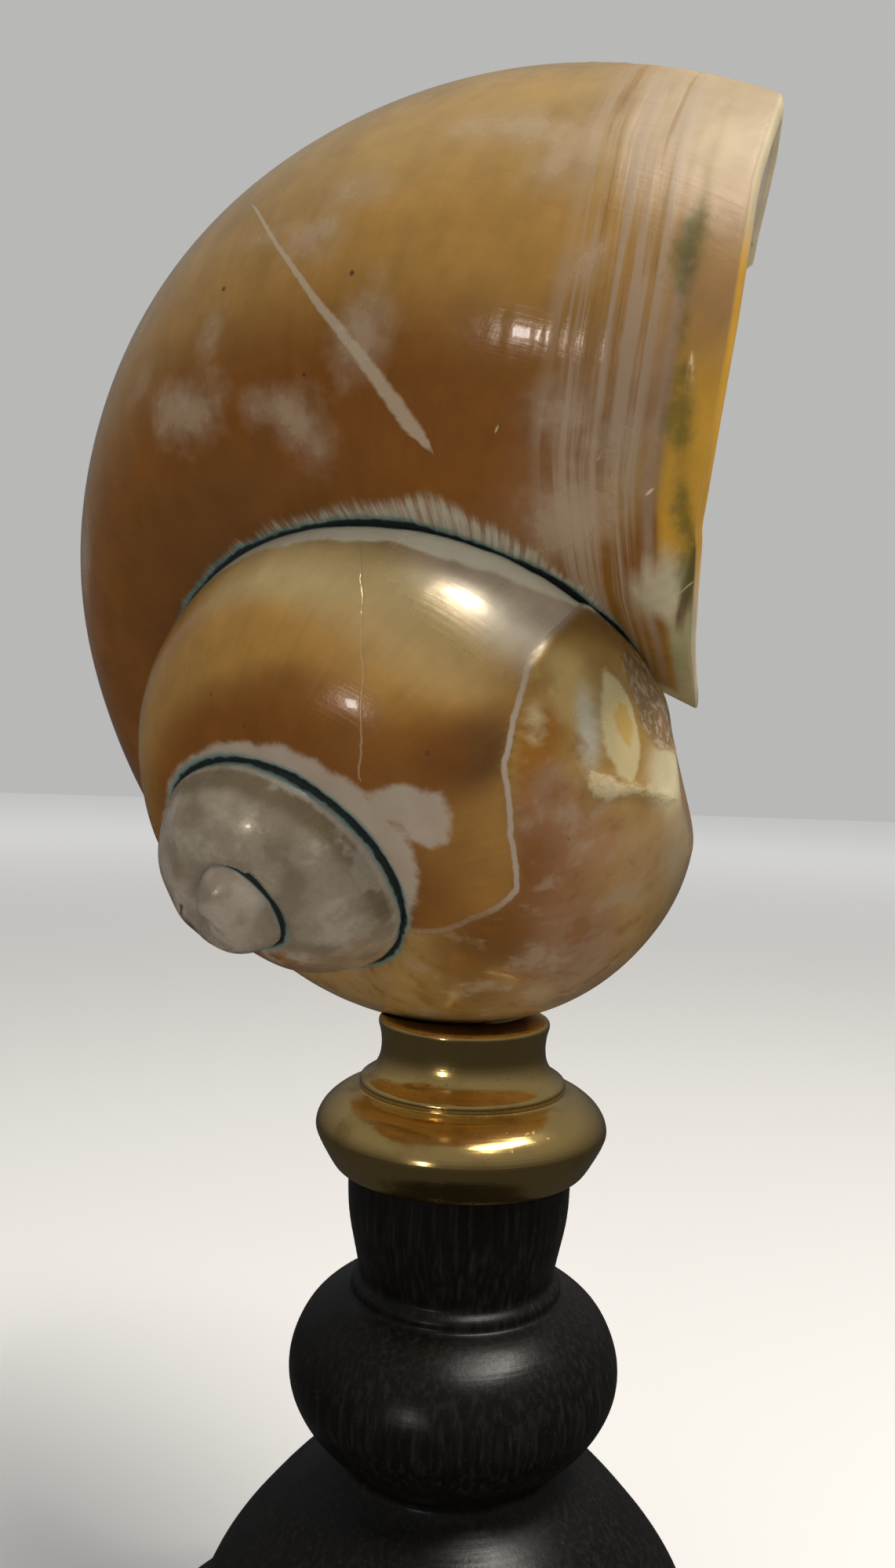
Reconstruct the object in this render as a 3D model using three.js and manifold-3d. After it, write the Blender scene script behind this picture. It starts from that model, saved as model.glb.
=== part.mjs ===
// A large turban shell, ground and polished to its pearly layer, standing spire down on a
// turned brass cup at the top of a black turned wooden stand.
// Millimetres, +Z up. The origin is the middle of the foot's underside, on the stand's axis.
// The side of the shell with the spire in front and the lip to the right looks towards -Y.
import * as THREE from 'three';
import { mergeVertices } from 'three/addons/utils/BufferGeometryUtils.js';
import Module from 'manifold-3d';

const wasm = await Module();
wasm.setup();

const degrees = Math.PI / 180;

// Stand
const cupZ = 62;            // height of the widest line of the brass cup, less one millimetre
const cupTop = 10.6;        // cup rim above that height
const socketRadius = 10.6;  // recess in the underside of the cup
const socketDepth = 2.0;
const gap = 0.3;            // between neighbouring pieces
const latheSides = 36;

// Shell: where the spire's tip is, and which way the shell lies
const apex = new THREE.Vector3(-22.07, -23.23, 82.63);
const spireAxis = new THREE.Vector3(-0.5111, -0.6708, -0.5375).normalize();
const cornerSide = new THREE.Vector3(0.845, -0.5067, -0.1711);

// Shell growth: the angle is 0 at the corner where the lip meets the whorl before, and
// runs back to the tip in negative radians. Sizes are those of the section at angle 0.
const growthRate = 0.1285;
const centreRadius = 37.0;  // middle of the whorl's section from the spire's axis
const centreDepth = 63.7;   // and down the axis from the tip
const outerHalf = 20.8;     // half width on the outer side
const tipAngle = -19.6;     // last section of the tube, inside the round tip
const cornerAngle = 0.14;
const lipFrom = -1.6;       // the last stretch, up to the lip
const lipMiddle = -0.7;
const tipRadius = 2.3;
const wallAtLip = 2.5;
const cavityEnd = -7.9;     // how far back the hollow is open
const columellaRadius = 3.4;
const columellaEnd = 62;

// Lip: the edge lies on a slightly waved plane
const lipPoint = new THREE.Vector3(22.15, -2.86, 124.74);
const lipNormal = new THREE.Vector3(0.9755, -0.2031, -0.0849);
const lipThrough = new THREE.Vector3(0.2181, 0.9438, 0.2482);

const shellMaterial = new THREE.MeshStandardMaterial({ color: 0xb5834a, roughness: 0.14, metalness: 0 });
const brassMaterial = new THREE.MeshStandardMaterial({ color: 0xc9983e, roughness: 0.16, metalness: 1 });
const blackMaterial = new THREE.MeshStandardMaterial({ color: 0x0e0d0d, roughness: 0.32, metalness: 0 });

// Solids from three.js geometries and back
function toSolid(geometry) {
  const bare = geometry.clone();
  bare.deleteAttribute('normal');
  bare.deleteAttribute('uv');
  const merged = mergeVertices(bare, 1e-4);
  const index = merged.index.array;
  const position = merged.attributes.position.array;
  const triangles = [];
  for (let i = 0; i < index.length; i += 3) {
    const [a, b, c] = [index[i], index[i + 1], index[i + 2]];
    if (a !== b && b !== c && a !== c) triangles.push(a, b, c);
  }
  return new wasm.Manifold(new wasm.Mesh({
    numProp: 3,
    vertProperties: Float32Array.from(position),
    triVerts: Uint32Array.from(triangles),
  }));
}

function toGeometry(solid) {
  const mesh = solid.getMesh();
  const geometry = new THREE.BufferGeometry();
  geometry.setAttribute('position', new THREE.BufferAttribute(Float32Array.from(mesh.vertProperties), 3));
  geometry.setIndex(new THREE.BufferAttribute(Uint32Array.from(mesh.triVerts), 1));
  geometry.computeVertexNormals();
  return geometry;
}

function lathe(profile) {
  const points = profile.map(([radius, height]) => new THREE.Vector2(radius, height));
  return new THREE.LatheGeometry(points, latheSides).rotateX(Math.PI / 2);
}

// The whorl's section at one growth angle
function sectionAt(angle) {
  const back = Math.min(angle, 0);
  const size = Math.exp(growthRate * angle);
  const early = 1 - Math.exp(back / 6);
  const middle = 1 - Math.exp(back / 2);
  const corner = Math.exp(back / 0.45);
  const late = Math.exp(back / 1.3);
  const inner = Math.exp(back / 0.8);
  const radius = centreRadius * size * (1 - 0.338 * early - 0.0429 * middle + 0.0549 * corner + 0.0227 * late);
  const depth = centreDepth * size * (1 + 0.4274 * early - 0.2856 * middle + 0.0294 * corner + 0.0254 * late);
  const outer = outerHalf * size * (1 + 0.6895 * early + 0.0855 * middle + 0.008 * corner + 0.0095 * late);
  return {
    size, radius, depth, outer,
    up: outer * (1.234 - 0.093 * middle + 0.0588 * inner),
    down: outer * 0.84,
    inside: radius * 1.334 * (1 - 0.0237 * inner),
    tilt: -0.1574 + 0.2908 * middle,
    lift: 2.82 * inner,
  };
}

// A point of the section: turn 0 is outermost, +90 degrees is towards the tip. The section is
// made of four rounded quarters, drawn in by the thickness of the wall for the hollow.
function sectionPoint(section, turn, wall, leastRadius) {
  const c = Math.cos(turn);
  const s = Math.sin(turn);
  let power = 1;
  if (c >= 0) power = s >= 0 ? 1 / 0.977 : 1 / 1.011;
  const across = (c >= 0 ? section.outer : section.inside) - wall;
  const along = (s >= 0 ? section.up : section.down) - wall;
  const x = across * Math.sign(c) * Math.abs(c) ** power;
  const y = along * Math.sign(s) * Math.abs(s) ** power;
  const tilt = section.tilt * (c >= 0 ? 1 : 0.6);
  const drawn = c < 0 && s > 0 ? (1 - (1 - Math.abs(c)) ** 2) * Math.min(1, 4 * s) : 0;
  return {
    r: Math.max(section.radius + x, leastRadius),
    h: section.depth - y + tilt * x - section.lift * drawn,
  };
}

const sideways = new THREE.Vector3().crossVectors(spireAxis, cornerSide);

function place(angle, r, h) {
  return apex.clone()
    .addScaledVector(cornerSide, r * Math.cos(angle))
    .addScaledVector(sideways, -r * Math.sin(angle))
    .addScaledVector(spireAxis, -h);
}

// Growth angle, in degrees, at which the whorl ends on each side of its section. The lip's
// plane cuts the outer side earlier; the base ends short and the inner side runs back from
// the corner to the columella.
function endAngle(turn) {
  const t = ((turn / degrees) + 360) % 360;
  if (t <= 108) return 8;
  if (t <= 140) return 8 - 93 * (t - 108) / 32;
  if (t <= 215) return -85;
  if (t <= 290) return -85 + 29 * (t - 215) / 75;
  return -56 + 64 * (t - 290) / 70;
}

// One stretch of the whorl as a closed tube with an end at each side, less than half a turn long
function whorlStretch(from, to, steps, turns, wall, leastRadius, toLip = false) {
  const position = [];
  const index = [];
  const count = turns.length;
  for (let i = 0; i <= steps; i += 1) {
    for (const turn of turns) {
      const end = toLip ? Math.min(to, endAngle(turn) * degrees) : to;
      const angle = from + (end - from) * i / steps;
      const section = sectionAt(angle);
      const thick = wall * section.size ** 0.8;
      const { r, h } = sectionPoint(section, turn, thick, leastRadius(section.size));
      position.push(...place(angle, r, h).toArray());
    }
  }
  for (let i = 0; i < steps; i += 1) {
    for (let j = 0; j < count; j += 1) {
      const k = (j + 1) % count;
      const a = i * count + j;
      const b = i * count + k;
      index.push(a, b, b + count, a, b + count, a + count);
    }
  }
  for (const [ring, flip] of [[0, true], [steps, false]]) {
    const end = toLip ? lipMiddle : to;
    const angle = from + (end - from) * ring / steps;
    const section = sectionAt(angle);
    const middle = position.length / 3;
    position.push(...place(angle, section.radius, section.depth).toArray());
    for (let j = 0; j < count; j += 1) {
      const a = ring * count + j;
      const b = ring * count + (j + 1) % count;
      index.push(...(flip ? [middle, b, a] : [middle, a, b]));
    }
  }
  const geometry = new THREE.BufferGeometry();
  geometry.setAttribute('position', new THREE.Float32BufferAttribute(position, 3));
  geometry.setIndex(index);
  return toSolid(geometry);
}

// Stretches joined end to end
function whorls(from, to, stepAngle, turns, wall, leastRadius) {
  const total = Math.round((to - from) / stepAngle);
  const perStretch = Math.floor(2.9 / stepAngle);
  let solid = null;
  for (let i = 0; i < total; i += perStretch) {
    const last = Math.min(i + perStretch, total);
    const start = from + (to - from) * i / total;
    const end = from + (to - from) * last / total;
    const stretch = whorlStretch(start, end, last - i, turns, wall, leastRadius);
    solid = solid ? solid.add(stretch) : stretch;
  }
  return solid;
}

const outerTurns = [];
for (let turn = -130; turn <= 130; turn += 13) outerTurns.push(turn * degrees);
outerTurns.push(150 * degrees, 180 * degrees, 210 * degrees);
const hollowTurns = [];
for (let turn = -126; turn <= 144; turn += 18) hollowTurns.push(turn * degrees);
hollowTurns.push(180 * degrees);

// The edge of the lip: everything past the waved plane is cut from the last whorl
function lipCutter() {
  const outline = new THREE.Shape();
  outline.moveTo(-70, -4);
  outline.lineTo(-30, -1);
  outline.splineThru([
    new THREE.Vector2(-22, 0), new THREE.Vector2(-15, -1.1), new THREE.Vector2(-5, -1.5),
    new THREE.Vector2(8, -0.7), new THREE.Vector2(17, -0.4), new THREE.Vector2(24, 0.7),
    new THREE.Vector2(32, 0.3),
  ]);
  outline.lineTo(70, -1);
  outline.lineTo(70, 90);
  outline.lineTo(-70, 90);
  const geometry = new THREE.ExtrudeGeometry(outline, { depth: 180, bevelEnabled: false, curveSegments: 3 });
  geometry.translate(0, 0, -90);
  const along = new THREE.Vector3().crossVectors(lipNormal, lipThrough);
  const basis = new THREE.Matrix4().makeBasis(along, lipNormal, lipThrough).setPosition(lipPoint);
  return toSolid(geometry.applyMatrix4(basis));
}

// The pillar round the spire's axis
function columella() {
  const geometry = new THREE.LatheGeometry([
    new THREE.Vector2(0, -columellaEnd),
    new THREE.Vector2(columellaRadius * 0.6, -columellaEnd + 0.8),
    new THREE.Vector2(columellaRadius * 0.92, -columellaEnd + 3),
    new THREE.Vector2(columellaRadius, -columellaEnd + 6),
    new THREE.Vector2(1.3, -12),
    new THREE.Vector2(0, -7),
  ], 16).rotateX(Math.PI / 2);
  const basis = new THREE.Matrix4().makeBasis(cornerSide, sideways, spireAxis).setPosition(apex);
  return toSolid(geometry.applyMatrix4(basis));
}

function tip() {
  const section = sectionAt(tipAngle + 0.6);
  const centre = place(tipAngle + 0.6, section.radius, section.depth);
  return toSolid(new THREE.SphereGeometry(tipRadius, 14, 9).translate(...centre.toArray()));
}

function shellGeometry() {
  const onAxis = () => 0.4;
  const lastFrom = -3.6;
  const step = 13 * degrees;
  const early = whorls(tipAngle, lastFrom, step * 1.15, outerTurns, 0, onAxis);
  const lip = whorlStretch(lipFrom, cornerAngle, 9, outerTurns, 0, onAxis, true);
  const last = whorls(lastFrom, lipFrom, step, outerTurns, 0, onAxis).add(lip).subtract(lipCutter());
  const pillarRadius = (size) => columellaRadius * size ** 0.5;
  const before = whorls(tipAngle, -5.6, step * 1.15, outerTurns, 0, onAxis);
  const deepBefore = whorls(tipAngle, cavityEnd, step * 1.5, outerTurns, 0, onAxis);
  const hollow = whorls(-5.7, cornerAngle + 0.2, step * 1.4, hollowTurns, wallAtLip, pillarRadius)
    .subtract(before);
  const deepHollow = whorls(cavityEnd, -5.5, step * 1.4, hollowTurns, wallAtLip, pillarRadius)
    .subtract(deepBefore);
  const whole = columella().add(tip()).add(early).add(last).subtract(hollow).subtract(deepHollow);
  // joins of stretches that meet face to face can leave empty slivers, which are dropped
  return toGeometry(whole.decompose().reduce((a, b) => (a.volume() > b.volume() ? a : b)));
}

// Brass cup: a waisted top with a shallow dish that follows the shell, a small ring, a round
// shoulder and a bevel down to the wood
function cupGeometry() {
  const profile = [
    [0, cupTop], [7.7, cupTop], [7.95, cupTop - 0.3], [7.75, cupTop - 1.2],
    [7.6, 7.9], [7.75, 6.8], [8.2, 5.9], [8.9, 5.25], [9.35, 5.05], [9.6, 4.6], [9.35, 4.15], [9.8, 4.0],
    [10.9, 3.75], [12.0, 3.1], [12.9, 2.2], [13.35, 1.3], [13.45, 0.8], [13.1, -0.2],
    [12.5, -1.4], [11.9, -2.4], [11.5, -2.85], [socketRadius, -2.85],
    [socketRadius, -2.85 + socketDepth], [0, -2.85 + socketDepth],
  ];
  const body = toSolid(lathe(profile.reverse().map(([r, z]) => [r, z + cupZ])));
  const seatRadius = 22.9;
  const seat = new THREE.SphereGeometry(seatRadius, 72, 48).translate(-1.22, 3.87, 94.18);
  return toGeometry(body.subtract(toSolid(seat)));
}

// Black wooden stand in one turning: spigot, tapered neck, bead, knop, dome and foot
function standGeometry() {
  const spigotTop = -2.85 + socketDepth - gap;
  const turned = [
    [0, spigotTop], [socketRadius - gap, spigotTop], [socketRadius - gap, -3.2], [10.1, -7.6], [9.5, -10.6],
    [8.9, -13.2], [9.5, -13.5], [9.8, -14.0], [9.6, -14.5], [10.4, -14.7], [12.0, -15.6], [13.5, -16.9],
    [14.6, -18.7], [15.2, -20.8], [15.1, -22.8], [14.3, -24.8], [13.0, -26.6], [11.4, -28.2], [10.2, -29.4],
    [10.4, -30.2], [12.2, -31.5], [14.6, -33.1], [16.8, -35.3], [18.7, -37.5], [20.4, -39.6], [21.8, -41.7],
    [23.0, -44.2], [24.1, -46.9], [25.4, -49.5], [27.2, -51.9], [29.6, -54.0], [32.0, -55.2], [33.2, -56.0],
    [33.6, -57.2], [33.6, -61.2], [32.8, -62], [0, -62],
  ];
  return lathe(turned.reverse().map(([r, z]) => [r, z + cupZ]));
}

function named(name, geometry, material) {
  const mesh = new THREE.Mesh(geometry, material);
  mesh.name = name;
  return mesh;
}

const object = new THREE.Group();
object.add(named('shell', shellGeometry(), shellMaterial));
object.add(named('brass_cup', cupGeometry(), brassMaterial));
object.add(named('wooden_stand', standGeometry(), blackMaterial));

export default object;
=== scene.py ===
import math

import bpy
import numpy as np
from mathutils import Matrix, Vector


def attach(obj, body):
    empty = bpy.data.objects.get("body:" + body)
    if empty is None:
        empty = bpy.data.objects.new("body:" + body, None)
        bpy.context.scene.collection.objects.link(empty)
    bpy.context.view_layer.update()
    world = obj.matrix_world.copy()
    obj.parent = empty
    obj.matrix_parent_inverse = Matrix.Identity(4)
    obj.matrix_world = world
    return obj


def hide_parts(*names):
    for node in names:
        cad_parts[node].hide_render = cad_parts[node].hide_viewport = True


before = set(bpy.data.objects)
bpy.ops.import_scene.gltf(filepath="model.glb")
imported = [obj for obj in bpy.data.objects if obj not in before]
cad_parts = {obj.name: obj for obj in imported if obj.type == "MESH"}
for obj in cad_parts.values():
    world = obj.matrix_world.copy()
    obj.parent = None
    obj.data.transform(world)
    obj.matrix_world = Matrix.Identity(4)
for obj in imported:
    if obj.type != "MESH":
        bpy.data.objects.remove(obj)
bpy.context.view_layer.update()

# The room: a plain floor and a surround, both pale. The gloss mirrors a long soft box above to the
# right and a small one by the camera, and the others only fill the shadows. The camera stands close
# to the object, a little below the middle of the shell, as a phone was held for the picture.
mm = 0.001
camera_place = Vector((-2.2907, -108.6232, 96.9171)) * mm
pitch_down = math.radians(1.5)
roll_right = math.radians(1.9)
lens_length = 27.0
film_length = 36.0

level = Vector((0, math.sin(pitch_down), math.cos(pitch_down)))
forward = Vector((0, math.cos(pitch_down), -math.sin(pitch_down)))
right = math.cos(roll_right) * Vector((1, 0, 0)) + math.sin(roll_right) * level
upward = math.cos(roll_right) * level - math.sin(roll_right) * Vector((1, 0, 0))
camera_data = bpy.data.cameras.new("camera")
camera_data.lens = lens_length
camera_data.sensor_fit = "VERTICAL"
camera_data.sensor_height = film_length
camera_data.clip_start = 0.01
camera = bpy.data.objects.new("camera", camera_data)
turned = Matrix((right, upward, -forward)).transposed().to_4x4()
camera.matrix_world = Matrix.Translation(camera_place) @ turned
bpy.context.scene.collection.objects.link(camera)
bpy.context.scene.camera = camera


def soft_box(name, compass, height_angle, distance, width, height, power, colour, mirrored=True):
    """An area light that faces the shell: compass is 0 at the camera's side and grows to the right.
    One that isn't mirrored only fills the shadows."""
    centre = Vector((0, 0, 0.1))
    round_by = math.radians(compass)
    up_by = math.radians(height_angle)
    flat = math.cos(up_by)
    way = Vector((math.sin(round_by) * flat, -math.cos(round_by) * flat, math.sin(up_by)))
    data = bpy.data.lights.new(name, "AREA")
    data.shape = "RECTANGLE"
    data.size = width
    data.size_y = height
    data.energy = power
    data.color = colour
    light = bpy.data.objects.new(name, data)
    light.location = centre + way * distance
    light.visible_glossy = mirrored
    light.rotation_euler = way.to_track_quat("Z", "Y").to_euler()
    bpy.context.scene.collection.objects.link(light)


warm = (1.0, 0.95, 0.88)
white = (1.0, 1.0, 1.0)
soft_box("key_light", 53, 63, 0.50, 0.28, 0.11, 2.9, warm)
soft_box("side_light", 72, 30, 0.50, 0.07, 0.08, 0.45, warm, mirrored=False)
soft_box("window", -28, 2, 0.50, 0.030, 0.036, 0.16, white)
soft_box("room_light", 180, 72, 1.25, 1.60, 1.60, 6.5, white, mirrored=False)
soft_box("fill_light", -30, 30, 0.60, 0.40, 0.30, 0.45, white, mirrored=False)
bpy.context.scene.view_settings.view_transform = "Standard"


def node(tree, kind, inputs=None, **settings):
    """Adds one shader node. A value in inputs is either a number or colour, or a socket to join."""
    made = tree.nodes.new(kind)
    for name, value in settings.items():
        setattr(made, name, value)
    for name, value in (inputs or {}).items():
        if isinstance(value, bpy.types.NodeSocket):
            tree.links.new(value, made.inputs[name])
        else:
            made.inputs[name].default_value = value
    return made


surround = bpy.data.worlds.new("surround")
bpy.context.scene.world = surround
surround.use_nodes = True
sky = surround.node_tree
sky.nodes.clear()
looking = node(sky, "ShaderNodeTexCoord").outputs["Generated"]
height_up = node(sky, "ShaderNodeSeparateXYZ", {"Vector": looking}).outputs["Z"]
share_up = node(sky, "ShaderNodeMapRange", {"Value": height_up, "From Min": -1.0, "From Max": 1.0})
bands = node(sky, "ShaderNodeValToRGB", {"Fac": share_up.outputs["Result"]})
low_grey = (0.05, 0.05, 0.05, 1)
high_grey = (0.26, 0.26, 0.26, 1)
wall_grey = (0.60, 0.60, 0.59, 1)
low_band, high_band = bands.color_ramp.elements
low_band.position = 0.40
low_band.color = low_grey
high_band.position = 0.75
high_band.color = high_grey
seen = node(sky, "ShaderNodeLightPath").outputs["Is Camera Ray"]
air = node(sky, "ShaderNodeMix", {0: seen, 6: bands.outputs["Color"], 7: wall_grey}, data_type="RGBA")
glow = node(sky, "ShaderNodeBackground", {"Color": air.outputs[2], "Strength": 0.8})
node(sky, "ShaderNodeOutputWorld", {"Surface": glow.outputs["Background"]})

# The floor glows a little far out, so that it runs into the pale surround without a hard edge.
floor_half = 2.0
floor_grey = (0.78, 0.77, 0.75, 1)
floor_glow = (0.98, 0.98, 0.97, 1)
floor_mesh = bpy.data.meshes.new("floor")
floor_mesh.from_pydata([(-floor_half, -floor_half, 0), (floor_half, -floor_half, 0),
                        (floor_half, floor_half, 0), (-floor_half, floor_half, 0)], [], [(0, 1, 2, 3)])
floor = bpy.data.objects.new("floor", floor_mesh)
bpy.context.scene.collection.objects.link(floor)
floor_paint = bpy.data.materials.new("pale_floor")
floor_paint.use_nodes = True
floor_tree = floor_paint.node_tree
floor_shader = floor_tree.nodes["Principled BSDF"]
floor_shader.inputs["Base Color"].default_value = floor_grey
floor_shader.inputs["Roughness"].default_value = 0.7
floor_place = node(floor_tree, "ShaderNodeTexCoord").outputs["Object"]
far_out = node(floor_tree, "ShaderNodeVectorMath", {0: floor_place}, operation="LENGTH").outputs["Value"]
far_glow = node(floor_tree, "ShaderNodeMapRange", {
    "Value": far_out, "From Min": 0.25, "From Max": 1.3, "To Max": 0.36}, interpolation_type="SMOOTHSTEP")
floor_tree.links.new(far_glow.outputs["Result"], floor_shader.inputs["Emission Strength"])
floor_shader.inputs["Emission Color"].default_value = floor_glow
floor_mesh.materials.append(floor_paint)
floor.visible_glossy = False

# The wooden stand: one turning in close-grained wood, stained black and lacquered. A spigot goes up
# into the brass cup; below it are a tapered neck, a small bead, a knop, and a dome that runs out
# into a round foot.
lathe_steps = 168
cup_height = 62.0            # where the cup's widest line is, less a millimetre


def curve_through(points, spacing):
    """Points along a smooth curve through the given ones: cubic pieces whose slopes are taken from
    the neighbouring points, with the chord lengths as parameter, cut at even spacing."""
    points = np.array(points, float)
    chord = np.hypot(*np.diff(points, axis=0).T)
    s = np.concatenate(([0.0], np.cumsum(chord)))
    slope = np.gradient(points, s, axis=0)
    at = np.linspace(0, s[-1], max(3, int(s[-1] / spacing) + 1))
    k = np.clip(np.searchsorted(s, at, side="right") - 1, 0, len(s) - 2)
    width = (s[k + 1] - s[k])[:, None]
    u = ((at - s[k]) / (s[k + 1] - s[k]))[:, None]
    return ((2 * u ** 3 - 3 * u ** 2 + 1) * points[k] + (u ** 3 - 2 * u ** 2 + u) * width * slope[k]
            + (3 * u ** 2 - 2 * u ** 3) * points[k + 1] + (u ** 3 - u ** 2) * width * slope[k + 1])


def turned_profile(stretches, spacing, softening):
    """The outline of a turning as (radius, height) pairs: each stretch is one smooth curve, the
    corners between them are worn round by averaging every point with its neighbours."""
    line = np.concatenate([curve_through(s, spacing) for s in stretches])
    gap = np.hypot(*np.diff(line, axis=0).T)
    line = line[np.concatenate(([True], gap > 1e-6))]
    along = np.concatenate(([0.0], np.cumsum(np.hypot(*np.diff(line, axis=0).T))))
    even = np.linspace(0, along[-1], int(along[-1] / spacing) + 1)
    line = np.stack([np.interp(even, along, line[:, k]) for k in (0, 1)], axis=1)
    for _ in range(softening):
        line[1:-1] = 0.25 * line[:-2] + 0.5 * line[1:-1] + 0.25 * line[2:]
    return line


def lathe_points(profile, steps):
    """The profile carried once round the Z axis: every (radius, height) becomes a ring of points."""
    around = np.linspace(0, 2 * math.pi, steps, endpoint=False)
    radius = profile[:, :1]
    height = profile[:, 1:] + 0 * around
    return np.stack([radius * np.cos(around), radius * np.sin(around), height], axis=-1)


def grid_faces(rows, columns):
    """Quads of a grid that closes on itself across its columns. They face outwards when the rows run
    down the outside and the columns run anticlockwise."""
    i, j = np.meshgrid(np.arange(rows - 1), np.arange(columns), indexing="ij")
    k = (j + 1) % columns
    here = i * columns
    under = here + columns
    return np.stack([here + j, under + j, under + k, here + k], axis=-1).reshape(-1, 4)


def closed_mesh(name, points):
    """A mesh from a grid of points in millimetres, with a pole at the middle of the first and of
    the last row, so that the surface is closed."""
    rows, columns = points.shape[:2]
    poles = np.stack([points[0].mean(axis=0), points[-1].mean(axis=0)])
    flat = np.concatenate([points.reshape(-1, 3), poles]) * mm
    quads = grid_faces(rows, columns)
    j = np.arange(columns)
    k = (j + 1) % columns
    first = np.stack([j, k, np.full(columns, rows * columns)], axis=1)
    base = (rows - 1) * columns
    last = np.stack([base + k, base + j, np.full(columns, rows * columns + 1)], axis=1)
    mesh = bpy.data.meshes.new(name)
    mesh.vertices.add(len(flat))
    mesh.vertices.foreach_set("co", flat.ravel())
    mesh.loops.add(4 * len(quads) + 6 * columns)
    mesh.loops.foreach_set("vertex_index", np.concatenate([quads.ravel(), first.ravel(), last.ravel()]))
    starts = np.concatenate([4 * np.arange(len(quads)), 4 * len(quads) + 3 * np.arange(2 * columns)])
    mesh.polygons.add(len(starts))
    mesh.polygons.foreach_set("loop_start", starts)
    mesh.polygons.foreach_set("use_smooth", np.ones(len(starts), bool))
    mesh.update(calc_edges=True)
    return mesh


def show(name, mesh, material, cad_node):
    """Puts a finished mesh in the scene as the piece that stands for one of the solids."""
    piece = bpy.data.objects.new(name, mesh)
    bpy.context.scene.collection.objects.link(piece)
    mesh.materials.append(material)
    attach(piece, "root")
    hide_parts(cad_node)


def stretched(tree, place, scale):
    """A place scaled along each axis: noise over it is drawn out where the number is small."""
    return node(tree, "ShaderNodeMapping", {"Vector": place, "Scale": scale}).outputs["Vector"]


def new_material(name):
    """A material with an empty node tree, its shader, and the object's coordinates in millimetres."""
    material = bpy.data.materials.new(name)
    material.use_nodes = True
    tree = material.node_tree
    tree.nodes.clear()
    shader = node(tree, "ShaderNodeBsdfPrincipled")
    node(tree, "ShaderNodeOutputMaterial", {"Surface": shader.outputs["BSDF"]})
    place = stretched(tree, node(tree, "ShaderNodeTexCoord").outputs["Object"], (1000, 1000, 1000))
    return material, tree, shader, place


def calc(tree, operation, a, b=0.0, c=0.0):
    """One arithmetic step between sockets or numbers."""
    return node(tree, "ShaderNodeMath", {0: a, 1: b, 2: c}, operation=operation).outputs[0]


def between(tree, value, low, high):
    """0 below low, 1 above high, and a smooth step between; it falls where low is above high."""
    made = node(tree, "ShaderNodeMapRange", {"Value": value, "From Min": low, "From Max": high},
                interpolation_type="SMOOTHSTEP")
    if not isinstance(low, bpy.types.NodeSocket) and low > high:
        made.inputs["From Min"].default_value = high
        made.inputs["From Max"].default_value = low
        made.inputs["To Min"].default_value = 1.0
        made.inputs["To Max"].default_value = 0.0
    return made.outputs["Result"]


def cloud(tree, place, scale, detail=3.0, rough=0.5):
    """Soft noise from 0 to 1 at a scale given in lumps to the millimetre."""
    made = node(tree, "ShaderNodeTexNoise", {
        "Vector": place, "Scale": scale, "Detail": detail, "Roughness": rough})
    return made.outputs["Fac"]


def paint(tree, under, over, amount):
    """The colour over laid on the colour under, by an amount from 0 to 1."""
    return node(tree, "ShaderNodeMix", {0: amount, 6: under, 7: over}, data_type="RGBA").outputs[2]


def bumpy(tree, shader, height, strength, distance):
    """Lays a fine relief on the shader: a height times a distance in metres."""
    made = node(tree, "ShaderNodeBump", {"Height": height, "Strength": strength, "Distance": distance})
    tree.links.new(made.outputs["Normal"], shader.inputs["Normal"])


stand_stretches = [
    [(0.6, -1.15), (10.0, -1.15)],
    [(10.3, -1.3), (10.3, -3.2), (10.1, -7.6), (9.5, -10.6), (8.95, -13.15)],
    [(9.3, -13.3), (9.75, -13.7), (9.8, -14.1), (9.55, -14.45)],
    [(9.7, -14.55), (10.9, -14.9), (12.2, -15.7), (13.6, -17.0), (14.6, -18.7), (15.2, -20.8), (15.1, -22.8),
     (14.3, -24.8), (13.0, -26.6), (11.4, -28.2), (10.2, -29.4)],
    [(10.15, -29.7), (11.0, -30.6), (12.5, -31.7), (14.6, -33.1), (16.8, -35.3), (18.7, -37.5),
     (20.4, -39.6), (21.8, -41.7), (23.0, -44.2), (24.1, -46.9), (25.4, -49.5), (27.2, -51.9),
     (29.6, -54.0), (31.9, -55.2)],
    [(32.3, -55.3), (33.2, -56.2), (33.6, -57.6), (33.6, -60.9)],
    [(33.3, -61.6), (32.8, -62.0)],
    [(32.5, -62.0), (0.6, -62.0)],
]
stand_profile = turned_profile(stand_stretches, 0.26, 3)
stand_profile[:, 1] = np.maximum(stand_profile[:, 1], -cup_height) + cup_height
stand_mesh = closed_mesh("black_stand", lathe_points(stand_profile, lathe_steps))

lacquer, tree, shader, place = new_material("black_lacquer")
black = (0.004, 0.0035, 0.003, 1)
brown_black = (0.014, 0.011, 0.009, 1)
dust_grey = (0.12, 0.115, 0.11, 1)
grain = cloud(tree, stretched(tree, place, (1.0, 1.0, 0.06)), 2.2, 5.0, 0.6)
rings = cloud(tree, stretched(tree, place, (0.02, 0.02, 5.0)), 1.0)
haze = cloud(tree, place, 0.16, 4.0, 0.6)
dust = between(tree, cloud(tree, place, 3.4, 2.0, 0.5), 0.66, 0.74)
colour = paint(tree, black, brown_black, between(tree, grain, 0.42, 0.75))
colour = paint(tree, colour, dust_grey, calc(tree, "MULTIPLY", dust, 0.08))
tree.links.new(colour, shader.inputs["Base Color"])
hazy = calc(tree, "MULTIPLY_ADD", between(tree, haze, 0.3, 0.7), 0.14, 0.25)
tree.links.new(calc(tree, "MULTIPLY_ADD", dust, 0.2, hazy), shader.inputs["Roughness"])
pores = calc(tree, "MULTIPLY_ADD", rings, 0.5, calc(tree, "MULTIPLY", grain, 0.7))
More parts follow.
